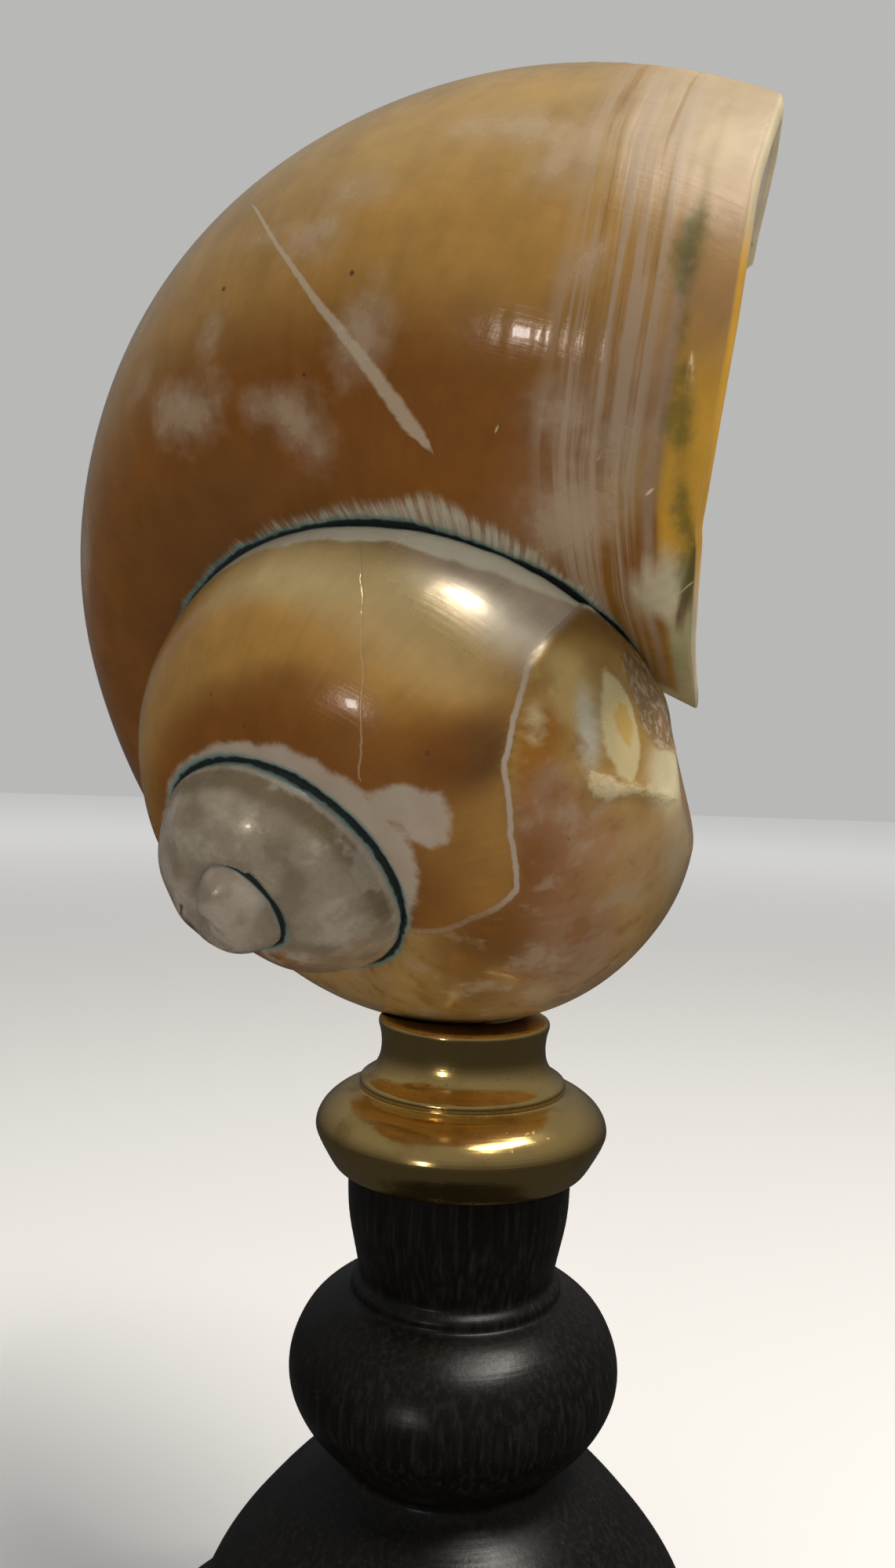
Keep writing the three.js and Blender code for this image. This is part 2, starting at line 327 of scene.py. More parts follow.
bumpy(tree, shader, pores, 0.22, 0.00012)
shader.inputs["Specular IOR Level"].default_value = 0.22
show("black_stand", stand_mesh, lacquer, "wooden_stand")

# The brass cup: turned from bar and polished, with a waisted top, a small ring, a round shoulder and
# a bevel down to the wood. Its top is dished to fit the shell, which is glued in.
dish_centre = np.array([-1.22, 3.87, 94.18])
dish_radius = 22.9
dished_above = 6
cup_stretches = [
    [(0.5, 10.6), (7.6, 10.6)],
    [(7.85, 10.5), (7.95, 10.25), (7.75, 9.4), (7.6, 7.9), (7.75, 6.8), (8.2, 5.9), (8.9, 5.3)],
    [(9.1, 5.2), (9.45, 5.0), (9.6, 4.65), (9.45, 4.3)],
    [(9.35, 4.15), (9.8, 4.0), (10.9, 3.75), (12.0, 3.1), (12.9, 2.2), (13.35, 1.3), (13.45, 0.75)],
    [(13.42, 0.45), (13.1, -0.3), (12.5, -1.4), (11.9, -2.4), (11.6, -2.8)],
    [(11.45, -2.85), (10.65, -2.85)],
    [(10.6, -2.75), (10.6, -0.9)],
    [(10.5, -0.85), (0.5, -0.85)],
]
cup_profile = turned_profile(cup_stretches, 0.16, 3)
cup_profile[:, 1] += cup_height
cup_points = lathe_points(cup_profile, lathe_steps)
cup_z = cup_points[..., 2]
beside = np.hypot(cup_points[..., 0] - dish_centre[0], cup_points[..., 1] - dish_centre[1])
dish = dish_centre[2] - np.sqrt(dish_radius ** 2 - beside ** 2)
cup_points[..., 2] = np.where(cup_z > cup_height + dished_above, np.minimum(cup_z, dish), cup_z)
cup_mesh = closed_mesh("brass_cup_turned", cup_points)

brass, tree, shader, place = new_material("polished_brass")
bright_brass = (0.86, 0.60, 0.22, 1)
dull_brass = (0.50, 0.31, 0.10, 1)
pit_brown = (0.30, 0.17, 0.06, 1)
tarnish = cloud(tree, place, 0.22, 5.0, 0.62)
turning_marks = cloud(tree, stretched(tree, place, (0.03, 0.03, 9.0)), 1.0, 2.0, 0.5)
pits = between(tree, cloud(tree, place, 2.6, 2.0, 0.5), 0.68, 0.75)
colour = paint(tree, bright_brass, dull_brass, between(tree, tarnish, 0.48, 0.80))
colour = paint(tree, colour, pit_brown, calc(tree, "MULTIPLY", pits, 0.5))
tree.links.new(colour, shader.inputs["Base Color"])
shader.inputs["Metallic"].default_value = 1.0
shine = calc(tree, "MULTIPLY_ADD", between(tree, tarnish, 0.35, 0.8), 0.16, 0.13)
tree.links.new(calc(tree, "MULTIPLY_ADD", pits, 0.25, shine), shader.inputs["Roughness"])
bumpy(tree, shader, turning_marks, 0.10, 0.00008)
show("brass_cup_turned", cup_mesh, brass, "brass_cup")

# The shell: one grown tube, wound round a leaning axis and widening from tip to lip, ground down to
# its pearly layer and polished. The growth angle is 0 at the lip's corner and negative back to the
# tip; the turn goes round the section, 0 on its outermost side and 90 degrees towards the tip.
apex = np.array([-22.07, -23.23, 82.63])
spire_axis = np.array([-0.5111, -0.6708, -0.5375])
spire_axis = spire_axis / np.linalg.norm(spire_axis)
corner_side = np.array([0.845, -0.5067, -0.1711])
sideways = np.cross(spire_axis, corner_side)
full_turn = 2 * math.pi
growth_rate = 0.1285
centre_radius = 37.0
centre_depth = 63.7
outer_half = 20.8
upper_power = 0.977
lower_power = 1.011
inner_tilt = 0.6
tip_angle = -19.6
corner_angle = 0.14
short_of_lip = 0.012
wall_at_lip = 2.5
hollow_end = -7.9
pillar_radius = 3.4
lip_point = np.array([22.15, -2.86, 124.74])
lip_normal = np.array([0.9755, -0.2031, -0.0849])
lip_through = np.array([0.2181, 0.9438, 0.2482])
lip_along = np.cross(lip_normal, lip_through)
lip_wave = np.array([
    (-30, -1), (-22, 0), (-15, -1.1), (-5, -1.5), (8, -0.7), (17, -0.4), (24, 0.7), (32, 0.3)])


def section_sizes(angle):
    """The section's sizes at a growth angle: each is its size at the lip times e to the growth
    rate times the angle, with slow corrections that fade towards the tip or towards the lip."""
    back = np.minimum(angle, 0)
    size = np.exp(growth_rate * angle)
    early = 1 - np.exp(back / 6)
    middle = 1 - np.exp(back / 2)
    corner = np.exp(back / 0.45)
    late = np.exp(back / 1.3)
    inner = np.exp(back / 0.8)
    radius = centre_radius * size * (1 - 0.338 * early - 0.0429 * middle + 0.0549 * corner + 0.0227 * late)
    depth = centre_depth * size * (1 + 0.4274 * early - 0.2856 * middle + 0.0294 * corner + 0.0254 * late)
    outer = outer_half * size * (1 + 0.6895 * early + 0.0855 * middle + 0.008 * corner + 0.0095 * late)
    up = outer * (1.234 - 0.093 * middle + 0.0588 * inner)
    inside = radius * 1.334 * (1 - 0.0237 * inner)
    tilt = -0.1574 + 0.2908 * middle
    return size, radius, depth, outer, up, 0.84 * outer, inside, tilt, 2.82 * inner


def section_point(angle, turn, wall=0.0, least=0.4):
    """Distance from the spire's axis and depth from the tip, for four rounded quarters: cosine and
    sine of the turn, each to a power near 1, times the half widths less the wall."""
    size, radius, depth, outer, up, down, inside, tilt, lift = section_sizes(angle)
    thick = wall * size ** 0.8
    c = np.cos(turn)
    s = np.sin(turn)
    power = np.where(c >= 0, np.where(s >= 0, 1 / upper_power, 1 / lower_power), 1.0)
    x = (np.where(c >= 0, outer, inside) - thick) * np.sign(c) * np.abs(c) ** power
    y = (np.where(s >= 0, up, down) - thick) * np.sign(s) * np.abs(s) ** power
    drawn = np.where((c < 0) & (s > 0), (1 - (1 - np.abs(c)) ** 2) * np.minimum(1, 4 * s), 0)
    leaning = tilt * x * np.where(c >= 0, 1, inner_tilt)
    return np.maximum(radius + x, least), depth - y + leaning - lift * drawn


def placed(angle, r, h):
    """A point of the shell in millimetres in the object's frame."""
    return (apex + (r * np.cos(angle))[..., None] * corner_side - (r * np.sin(angle))[..., None] * sideways
            - h[..., None] * spire_axis)


def end_angle(turn):
    """Where the tube's wall ends, in radians: the outer side runs past the lip's plane, which cuts
    it, and the inner side stops on the whorl before."""
    degrees = np.degrees(turn) % 360
    return np.radians(np.interp(degrees, [0, 100, 108, 140, 215, 290, 360], [8, 8, -5, -85, -85, -56, 8]))


def past_lip(points):
    """Millimetres beyond the waved plane in which the lip lies."""
    away = points - lip_point
    return away @ lip_normal - np.interp(away @ lip_along, lip_wave[:, 0], lip_wave[:, 1])


def lip_angle(turn, wall=0.0, least=0.4):
    """The growth angle at which the tube reaches the lip, for every turn: the first place where a
    fine row of points passes the lip's plane, or the end of the wall if that comes sooner."""
    angle = np.linspace(-1.5, corner_angle + 0.1, 300)[:, None] + 0 * turn
    turns = turn + 0 * angle
    r, h = section_point(angle, turns, wall, least)
    side = past_lip(placed(angle, r, h))
    first = np.argmax(side > 0, axis=0)
    at = np.arange(len(turn))
    before = np.maximum(first - 1, 0)
    share = -side[before, at] / (side[first, at] - side[before, at] + 1e-9)
    crossing = angle[before, at] + share * (angle[first, at] - angle[before, at])
    return np.where(first > 0, np.minimum(crossing, end_angle(turn)), end_angle(turn))


# Rows of points along the growth, as (start, end, step) in degrees, closest together where the marks
# are finest, and then evenly spaced rows up to the lip. The columns go round the section.
last_from = -112
row_stretches = [
    (math.degrees(tip_angle), -1080, 3.2), (-1080, -720, 2.4), (-720, -470, 1.9), (-470, -300, 1.0),
    (-300, last_from, 1.6)]
shares = np.linspace(0, 1, 104, endpoint=False)
turn_row = np.radians(np.interp(shares, [0, 0.14, 0.90, 1], [230, 130, -62, -130]))
lip_row = lip_angle(turn_row) - short_of_lip
early_rows = np.radians(np.concatenate([np.arange(*stretch) for stretch in row_stretches]))
last_start = math.radians(last_from)
last_share = np.linspace(0, 1, 118)[:, None]
angle_grid = np.concatenate([
    early_rows[:, None] + 0 * turn_row, last_start + last_share * (lip_row - last_start)])
turn_grid = turn_row + 0 * angle_grid
r_grid, h_grid = section_point(angle_grid, turn_grid)
outer_points = placed(angle_grid, r_grid, h_grid)


def section_pace(angle, turn):
    """How many millimetres the section's outline runs for one radian of turn."""
    step = 0.02
    r1, h1 = section_point(angle, turn - step)
    r2, h2 = section_point(angle, turn + step)
    return np.maximum(np.hypot(r2 - r1, h2 - h1) / (2 * step), 0.2)


# The seams between whorls: the turn at which each whorl's upper side meets the whorl before, and the
# turn at which the whorl before is covered by it.
seam_angles = np.linspace(-18.5, 0.12, 460)
seam_turns = np.radians(np.arange(20, 200, 1.0))
far_from_seam = 50.0
whorl_angle, whorl_turn = np.meshgrid(seam_angles, seam_turns, indexing="ij")
whorl_r, whorl_h = section_point(whorl_angle, whorl_turn)
_, radius, depth, outer, up, down, inside, tilt, _ = section_sizes(whorl_angle - full_turn)
out_by = whorl_r - radius
up_by = depth + tilt * out_by * np.where(out_by >= 0, 1, inner_tilt) - whorl_h
out_share = np.abs(out_by) / np.where(out_by >= 0, outer, inside)
up_share = np.abs(up_by) / np.where(up_by >= 0, up, down)
power = np.where(out_by >= 0, np.where(up_by >= 0, upper_power, lower_power), 1.0)
beyond = out_share ** (2 * power) + up_share ** (2 * power) - 1
first = np.argmax(beyond < 0, axis=1)
first = np.where(first > 0, first, np.argmin(beyond, axis=1))
row = np.arange(len(seam_angles))
still_out = beyond[row, first - 1]
part = np.clip(still_out / (still_out - beyond[row, first] + 1e-9), 0, 1)
upper_seam = seam_turns[first - 1] + part * (seam_turns[1] - seam_turns[0])
cosine = np.sign(out_by) * out_share ** power
sine = np.sign(up_by) * up_share ** power
lower_turn = np.arctan2(sine[row, first], cosine[row, first])
seam_above = np.interp(angle_grid, seam_angles, upper_seam)
seam_below = np.interp(angle_grid + full_turn, seam_angles, lower_turn)
pace_above = section_pace(angle_grid, 0.5 * (turn_grid + seam_above))
from_above = pace_above * (seam_above - turn_grid)
from_above = np.where(angle_grid < tip_angle + full_turn, far_from_seam, from_above)
pace_below = section_pace(angle_grid, 0.5 * (turn_grid + seam_below))
from_below = pace_below * (turn_grid - seam_below)
from_below = np.where(angle_grid + full_turn > corner_angle, far_from_seam, from_below)
from_lip = r_grid * (lip_row - angle_grid)
degrees_grid = np.degrees(angle_grid)
turn_degrees = np.degrees(turn_grid)
lip_margin = np.clip(from_lip, 0, 40)


def near(angle, turn, length, width, slant=0.0):
    """How many millimetres a point lies inside an ellipse drawn on the shell round a place: its half
    length runs along the growth and its half width across it, and slant turns it towards the tip."""
    angle, turn, slant = np.radians((angle, turn, slant))
    du = r_grid * (angle_grid - angle)
    dv = section_pace(angle_grid, 0.5 * (turn_grid + turn)) * (turn_grid - turn)
    c = math.cos(slant)
    s = math.sin(slant)
    inside = 1 - np.hypot((du * c + dv * s) / length, (dv * c - du * s) / width)
    return np.maximum(inside, -3) * min(length, width)


def patch(value, edge):
    """A soft-edged patch from 0 to 1 out of millimetres inside its outline: it is full at the
    given depth inside."""
    share = np.clip(value / edge, 0, 1)
    return share * share * (3 - 2 * share)


def band(value, start, rise, end, fall):
    """A share that is 0 up to a start, rises to 1, and falls to 0 again at an end."""
    return patch(value - start, rise) * patch(end - value, fall)


def from_line(places):
    """Signed millimetres from a line drawn on the shell through (angle, turn) places in degrees,
    positive on its left, and how far along the line the nearest place is, counted in its pieces."""
    best = np.full(angle_grid.shape, 1e9)
    signed = np.zeros(angle_grid.shape)
    where = np.zeros(angle_grid.shape)
    pace = section_pace(angle_grid, turn_grid)
    places = np.radians(places)
    for k, (start, end) in enumerate(zip(places[:-1], places[1:])):
        au = r_grid * (angle_grid - start[0])
        av = pace * (turn_grid - start[1])
        bu = r_grid * (end[0] - start[0])
        bv = pace * (end[1] - start[1])
        share = np.clip((au * bu + av * bv) / (bu * bu + bv * bv), 0, 1)
        distance = np.hypot(au - share * bu, av - share * bv)
        closer = distance < best
        best = np.where(closer, distance, best)
        signed = np.where(closer, distance * np.sign(bu * av - bv * au), signed)
        where = np.where(closer, k + share, where)
    return signed, where


def inside_outline(places):
    """Signed millimetres inside a closed outline through (angle, turn) places in degrees. A point is
    inside where the outline passes it an odd number of times on the side of greater angles."""
    corners = places + places[:1]
    away, _ = from_line(corners)
    passed = np.zeros(angle_grid.shape, int)
    for (a1, t1), (a2, t2) in zip(corners[:-1], corners[1:]):
        spans = (t1 > turn_degrees) != (t2 > turn_degrees)
        crossing = a1 + (turn_degrees - t1) * (a2 - a1) / (t2 - t1 + 1e-9)
        passed += spans & (degrees_grid < crossing)
    return np.clip(np.where(passed % 2 == 1, np.abs(away), -np.abs(away)), -4, 4)


def along_growth(places):
    """A value that changes along the growth, given as (angle in degrees, value) pairs."""
    places = np.array(places, float)
    return np.interp(degrees_grid, places[:, 0], places[:, 1])


# The milky clouds in the amber: ellipses, and two outlines where they have a shape of their own.
cloud_places = [
    (-104, 59.3, 1.1, 1.0), (-90.9, 48.2, 2.4, 1.8), (-88.3, 39.9, 2.6, 1.4), (-75, 27, 5.0, 1.8),
    (-70.1, 32.9, 1.6, 3.0), (-62.6, 52.4, 0.8, 1.5), (-57, 76, 2.0, 1.8), (-51.3, 77.4, 1.6, 1.8),
    (-49.5, 93, 2.8, 4.2), (-82, 67, 2.0, 3.0), (-97, 44, 1.8, 1.0), (-119, 57, 1.3, 0.9),
    (-122, 40, 2.4, 1.2), (-150, 60, 3.0, 2.2), (-190, 45, 3.6, 2.6), (-235, 70, 3.0, 2.2)]
comma_cloud = inside_outline([
    (-97.6, 77.4), (-93.7, 77), (-89.6, 78.8), (-87.3, 83), (-86.6, 89), (-88.1, 91.3), (-90.1, 87.1),
    (-93.7, 83), (-96.8, 80.2)])
left_cloud = inside_outline([
    (-115.4, 63.5), (-109.4, 66.3), (-103, 71.9), (-105.3, 77.4), (-112.3, 76), (-115.6, 70.5)])
milky_clouds = np.max([near(*place) for place in cloud_places], axis=0)
milky_clouds = np.maximum(milky_clouds, np.maximum(comma_cloud, left_cloud) + 0.5)
milky_clouds = np.clip(milky_clouds, -4, 4)

# The ivory bands on both sides of the seams, with one cloud that grows out of them, and the
# feathered white band above the first seam.
ivory_under = along_growth([
    (-1100, 0.15), (-860, 0.3), (-800, 0.75), (-700, 0.85), (-640, 0.6), (-560, 0.5), (-500, 1.4),
    (-470, 2.4), (-440, 3.1), (-420, 3.3), (-405, 3.3), (-398, 2.0), (-391, 0.2), (-380, -1.0)]) - from_below
ivory_over = along_growth([
    (-720, 0.4), (-600, 0.9), (-480, 0.8), (-455, 1.3), (-430, 2.2), (-400, 3.0), (-375, 3.0),
    (-360, 2.2), (-345, 1.0), (-330, 0.3), (-300, -1.0)]) - from_above
ivory_over = np.where(degrees_grid < -700, -2.0, ivory_over)
ivory_cloud = inside_outline([
    (-397, 78), (-395, 70), (-390.8, 66.3), (-386.7, 62.1), (-379.9, 63.5), (-373.1, 68.5),
    (-373.1, 72.5), (-374.0, 76), (-378.0, 79), (-381.5, 78), (-384, 81), (-388, 85), (-396, 85)])
ivory_band = np.clip(np.max([ivory_under, ivory_over, ivory_cloud], axis=0), -3, 3)
lip_bump = inside_outline([
    (-37.1, 96.9), (-37.7, 92.7), (-35.6, 91.3), (-30.7, 94.1), (-28.4, 96.9), (-29.7, 99.7),
    (-33.3, 99.7)])
feather_band = along_growth([
    (-300, -1.0), (-260, 0.6), (-180, 0.5), (-120, 0.3), (-105, 0.7), (-93, 1.2), (-83, 1.6), (-76, 2.1),
    (-70, 3.2), (-64, 2.6), (-56, 2.2), (-48, 1.5), (-36, 0.9), (-28, 0.0), (-20, -1.0)]) - from_above
feather_band = np.minimum(np.clip(feather_band, -3, 3), -lip_bump)

# The black line in the seams: its half width on each side, and how much sharper it is drawn on the
# small whorls.
black_over = along_growth([
    (-1100, 0.06), (-740, 0.08), (-700, 0.16), (-380, 0.21), (-340, 0.20), (0, 0.20)])
black_under = along_growth([(-1100, 0.05), (-740, 0.14), (-700, 0.22), (-460, 0.16), (0, 0.16)])
sharper_over = along_growth([(-745, 3.0), (-700, 1.0)])
sharper_under = along_growth([(-900, 3.0), (-860, 1.0)])
black_seam = np.maximum(sharper_over * (black_over - from_above), sharper_under * (black_under - from_below))
black_seam = np.clip(black_seam, -4, 1)

# The thin pale scar, the hair crack, the dark groove beside the lip, and the dark slit in its bump.
scar_line, scar_at = from_line([(-103, 31.5), (-96, 47), (-88.9, 60.7), (-80.4, 74.6), (-70.8, 89.9)])
scar_half = np.interp(scar_at, [0, 1, 2, 3, 3.7, 4], [0.08, 0.15, 0.25, 0.45, 0.62, 0.3])
scar_in_halves = np.clip(scar_line / scar_half, -9, 9)
crack_line, _ = from_line([(-435.8, 13.5), (-424.9, 38.5), (-414, 58), (-401.7, 76)])
groove_line, groove_at = from_line([
    (-59, 30), (-56.4, 45.4), (-51.5, 58), (-46.1, 71.9), (-40.7, 83), (-34.8, 91.3), (-28.1, 95.5)])
groove_half = np.interp(groove_at, [0, 0.6, 1.1, 1.6, 2.3, 3, 4, 5, 6],
                        [-0.4, 0.5, 0.7, 0.0, 0.5, 0.35, 0.5, 0.7, 0.6])
groove = np.clip(groove_half - np.abs(groove_line), -3, 2)
slit_line, _ = from_line([(-35.5, 89.5), (-32.5, 93.0), (-28, 97.2)])

# The callus of the inner lip, a later layer over the second whorl, and the marks on it.
margin = [
    (-399, -60), (-399, -40), (-399, -2), (-399, 11), (-397.6, 22), (-392, 35), (-385.4, 45.4),
    (-371.7, 53.8), (-358.1, 58), (-354, 63.5), (-349.9, 71.9), (-344.5, 78.8), (-337.7, 90), (-325, 130)]
margin_line, _ = from_line(margin)
margin_angles, margin_turns = np.radians(margin).T
beyond_margin = angle_grid > np.interp(turn_grid, margin_turns, margin_angles)
callus = np.where(beyond_margin, np.abs(margin_line), -np.abs(margin_line))
callus_end = math.radians(-235)
callus = np.clip(np.minimum(callus, r_grid * (callus_end - angle_grid)), -4, 8)
cream_patch = inside_outline([
    (-389.5, 3.7), (-388.1, 2.4), (-382.6, 2.4), (-378.5, 5.1), (-373.1, 9.3), (-370.4, 13.5),
    (-369, 17.6), (-371.7, 20.4), (-378.5, 19), (-384, 13.5)])
amber_spot = inside_outline([
    (-382.6, 7.9), (-381.3, 5.1), (-377.2, 7.9), (-374.5, 12.1), (-374.5, 13.5), (-378.5, 13.5),
    (-381.3, 12.1)])
rough_zone = inside_outline([
    (-388.1, -17.1), (-379.9, -30), (-366, -32), (-366.3, -6), (-370.4, 3.7), (-375.8, 5.1),
    (-382.6, 1), (-386.7, -4.6)])
crust = inside_outline([
    (-375.8, 28.8), (-375.8, 26), (-370.4, 19), (-366.3, 10.7), (-359.5, 1), (-360.8, 7.9),
    (-367.6, 19), (-369, 26), (-370.4, 28.8), (-373.1, 30.2)])

# The broad colour, laid in washes over an amber ground: colour and strength, then the angle, turn,
# half length, half width and slant of an ellipse. The second list lies on the callus alone.
amber = (0.30, 0.155, 0.034)
dark_amber = (0.17, 0.06, 0.008)
olive_gold = (0.345, 0.22, 0.075)
honey = (0.34, 0.18, 0.036)
grey_olive = (0.33, 0.25, 0.15)
dull_olive = (0.16, 0.12, 0.07)
lilac_grey = (0.29, 0.19, 0.12)
olive_pearl = (0.42, 0.31, 0.135)
grey_pearl = (0.32, 0.265, 0.19)
# Partly a painted highlight: the pale pearl is the pearly layer, made pale where the key light's broad glare
# falls on the second whorl.
pale_pearl_with_painted_glare = (0.70, 0.63, 0.50)
cream = (0.60, 0.51, 0.29)
rose_brown = (0.25, 0.125, 0.06)
brown = (0.11, 0.05, 0.015)
lip_amber = (0.50, 0.27, 0.03)
callus_gold = (0.56, 0.40, 0.15)
burnt_amber = (0.32, 0.17, 0.08)
soft_amber = (0.30, 0.19, 0.085)
red_brown = (0.24, 0.12, 0.055)
rough_cream = (0.60, 0.52, 0.33)
# Partly a painted highlight: this pale grey lies in the scoop on the callus, where a bright glint falls.
scoop_grey_and_painted_highlight = (0.50, 0.48, 0.38)
whorl_washes = [
    (olive_gold, 0.95, -92, 6, 54, 25), (dark_amber, 0.95, -80, 90, 56, 15),
    (dark_amber, 0.85, -140, 84, 44, 15), (brown, 0.5, -132, 92, 26, 8), (honey, 0.5, -78, 52, 24, 6),
    (grey_olive, 0.85, -60, 8, 14, 17), (lilac_grey, 0.35, -53, 50, 7, 26),
    (olive_gold, 0.6, -46, 84, 3.2, 8), (dull_olive, 0.8, -49, 6, 11, 12),
    (olive_pearl, 1.0, -440, 18, 17, 8), (honey, 0.9, -452, 48, 9, 4),
    (dark_amber, 0.95, -438, 82, 19, 5.5), (olive_pearl, 0.6, -412, 28, 9, 7),
    (dark_amber, 0.75, -424, 64, 9, 3.6), (brown, 0.95, -391, 50, 4.2, 6),
    # The pale pearl wash lies where the glare falls on the second whorl: partly pearl, partly a painted
    # highlight.
    (dark_amber, 0.8, -396, 62, 6, 6), (pale_pearl_with_painted_glare, 0.9, -405, 4, 12, 7),
    (brown, 0.5, -350, 88, 12, 6), (olive_gold, 0.6, -560, 30, 26, 14),
    (dark_amber, 0.8, -600, 90, 30, 9), (dark_amber, 0.7, -240, 80, 60, 15)]
callus_washes = [
    (callus_gold, 0.8, -390, 17, 4.5, 3.0, 20), (lilac_grey, 0.7, -376, 38, 3.4, 2.2, 30),
    (rose_brown, 0.9, -367, 42, 7, 5.5), (dark_amber, 0.85, -352, 62, 12, 8),
    (burnt_amber, 0.9, -361, 32, 4.2, 3.4), (soft_amber, 0.9, -352, 18, 8, 5),
    (red_brown, 0.9, -342, 44, 10, 6), (grey_olive, 0.8, -350, 2, 10, 4),
    (brown, 0.6, -330, 66, 12, 7), (lilac_grey, 0.5, -325, 40, 12, 8),
    (rose_brown, 0.7, -352, -24, 12, 5), (rough_cream, 0.95, -365, 3, 4.2, 3.6),
    # The pale grey wash in the scoop is partly a painted highlight.
    (scoop_grey_and_painted_highlight, 0.85, -382, 20, 4.8, 1.3, 35), (cream, 0.7, -388.5, 31, 2.4, 0.85, 40)]


def washed(under, colour, amount):
    """The broad colour with another laid over it by an amount from 0 to 1 at every point."""
    amount = np.clip(amount, 0, 1)[..., None]
    return under * (1 - amount) + np.array(colour) * amount


def wash_share(angle, turn, length, width, slant=0.0):
    """1 in the middle of an ellipse, and a smooth fall to 0 at its outline."""
    return patch(near(angle, turn, length, width, slant) / min(length, width), 0.7)


def with_washes(under, washes, share):
    """The broad colour with a list of washes laid over it in turn, up to a share."""
    for colour, strength, *ellipse in washes:
        under = washed(under, colour, share * strength * wash_share(*ellipse))
    return under


def with_layers(under, layers):
    """The broad colour with (colour, amount) layers over it in turn."""
    for colour, amount in layers:
        under = washed(under, colour, amount)
    return under


curl_line, _ = from_line([(-915, 92), (-928, 84), (-942, 76), (-962, 72), (-985, 78), (-975, 86)])
brown_by_seam = band(from_below, 0.8, 0.3, 3.2, 1.2) * band(degrees_grid, -860, 20, -690, 20)
on_callus = patch(callus, 0.6)
by_margin = band(callus, 0.5, 0.8, 5.0, 2.2) * band(turn_degrees, 14, 14, 66, 10)
by_amber_lip = band(turn_degrees, 30, 12, 112, 10)
seam_brown = (0.14, 0.10, 0.045)
tip_grey = (0.38, 0.32, 0.25)
tip_brown = (0.10, 0.05, 0.02)
curl_black = (0.02, 0.015, 0.012)
callus_amber = (0.32, 0.19, 0.055)
callus_edge = (0.29, 0.118, 0.014)
rough_brown = (0.19, 0.115, 0.05)
lip_green = (0.33, 0.30, 0.16)
bump_ivory = (0.47, 0.41, 0.27)
slit_brown = (0.08, 0.03, 0.012)
tint = with_washes(np.ones(angle_grid.shape + (3,)) * amber, whorl_washes, 1.0)
tint = with_layers(tint, [
    (grey_pearl, patch(-640 - degrees_grid, 60)),
    (seam_brown, 0.75 * brown_by_seam),
    (tip_grey, patch(-850 - degrees_grid, 25)),
    (tip_brown, 0.9 * wash_share(-948, 82, 1.6, 1.1)),
    (curl_black, 0.95 * patch(0.26 - np.abs(curl_line), 0.2)),
    (callus_amber, on_callus),
    (callus_edge, 0.95 * by_margin)])
tint = with_washes(tint, callus_washes, on_callus)
tint = with_layers(tint, [
    (rough_brown, 0.95 * patch(rough_zone + 0.1, 0.8)),
    (lip_amber, band(turn_degrees, 48, 20, 97, 8) * patch(3.1 - lip_margin, 0.7)),
    (lip_green, patch(turn_degrees - 90, 8) * patch(2.6 - lip_margin, 1.0)),
    (lilac_grey, 0.8 * by_amber_lip * band(lip_margin, 2.9, 0.4, 4.2, 0.5)),
    (bump_ivory, 0.95 * patch(lip_bump + 0.5, 1.0)),
    (slit_brown, 0.9 * patch(0.55 - np.abs(slit_line), 0.4))])

# The relief: how far each form stands out in millimetres, and where. The last three are the two
# sides of the seams and the slight unevenness of hand grinding. All of it fades towards the tip.
ridges = np.sin(lip_margin * 5.2 + 0.9 * np.sin(turn_grid * 3.1))
ridges += 0.7 * np.sin(lip_margin * 2.9 + 1.3 * np.sin(turn_grid * 2.3))
unevenness = np.sin(angle_grid * 5.1 + turn_grid * 2.2) * np.sin(angle_grid * 2.3 - turn_grid * 3.7)
scoop = near(-385, 17, 4.2, 1.6, 35)
dent = near(-357, -22, 8.0, 5.5)
seam_half = 0.45
relief_forms = [
    (0.28, patch(callus, 0.7)),
    (0.018, band(lip_margin, 1.2, 2, 17, 5) * patch(110 - turn_degrees, 15) * ridges),
    (-0.40, patch(groove + 0.2, 0.9) * patch(degrees_grid + 58, 2)),
    (0.60, patch(lip_bump + 0.6, 1.6)),
    (-0.30, patch(scoop, 1.4)),
    (0.16, patch(cream_patch + 0.1, 0.5)),
    (-0.10, patch(amber_spot, 0.4)),
    (0.30, patch(crust + 0.15, 0.7)),
    (-0.25, patch(rough_zone, 1.2)),
    (-1.30, patch(dent, 5.0)),
    (-0.22, np.exp(-(from_above / seam_half) ** 2)),
    (-0.16, np.exp(-(from_below / seam_half) ** 2)),
    (0.10, unevenness)]
relief = sum(height * where for height, where in relief_forms) * patch(degrees_grid + 1110, 60)


def outward_normals(points, middles):
    """Unit normals of a grid of points, turned away from the middle of their own section."""
    wrapped = np.concatenate([points[:, -1:], points, points[:, :1]], axis=1)
    normal = np.cross(np.gradient(points, axis=0), wrapped[:, 2:] - wrapped[:, :-2])
    normal = normal / np.maximum(np.linalg.norm(normal, axis=-1, keepdims=True), 1e-9)
    return normal * np.sign(((points - middles) * normal).sum(axis=-1, keepdims=True))


_, middle_radius, middle_depth, *_ = section_sizes(angle_grid)
middles = placed(angle_grid, middle_radius, middle_depth)
outer_points = outer_points + outward_normals(outer_points, middles) * relief[..., None]

# The tip is worn round: the first ring shrinks to a point while it turns back a little.
cap_rows = 9
cap_turn = 0.9
quarter = np.linspace(0.12, 1.0, cap_rows, endpoint=False)[:, None] * 0.5 * math.pi
cap_angles = tip_angle - cap_turn * np.cos(quarter) + 0 * turn_row
cap_whole = placed(cap_angles, *section_point(cap_angles, turn_row + 0 * cap_angles))
_, cap_radius, cap_depth, *_ = section_sizes(cap_angles)
cap_middle = placed(cap_angles, cap_radius, cap_depth)
cap_points = cap_middle + (cap_whole - cap_middle) * np.sin(quarter)[..., None]

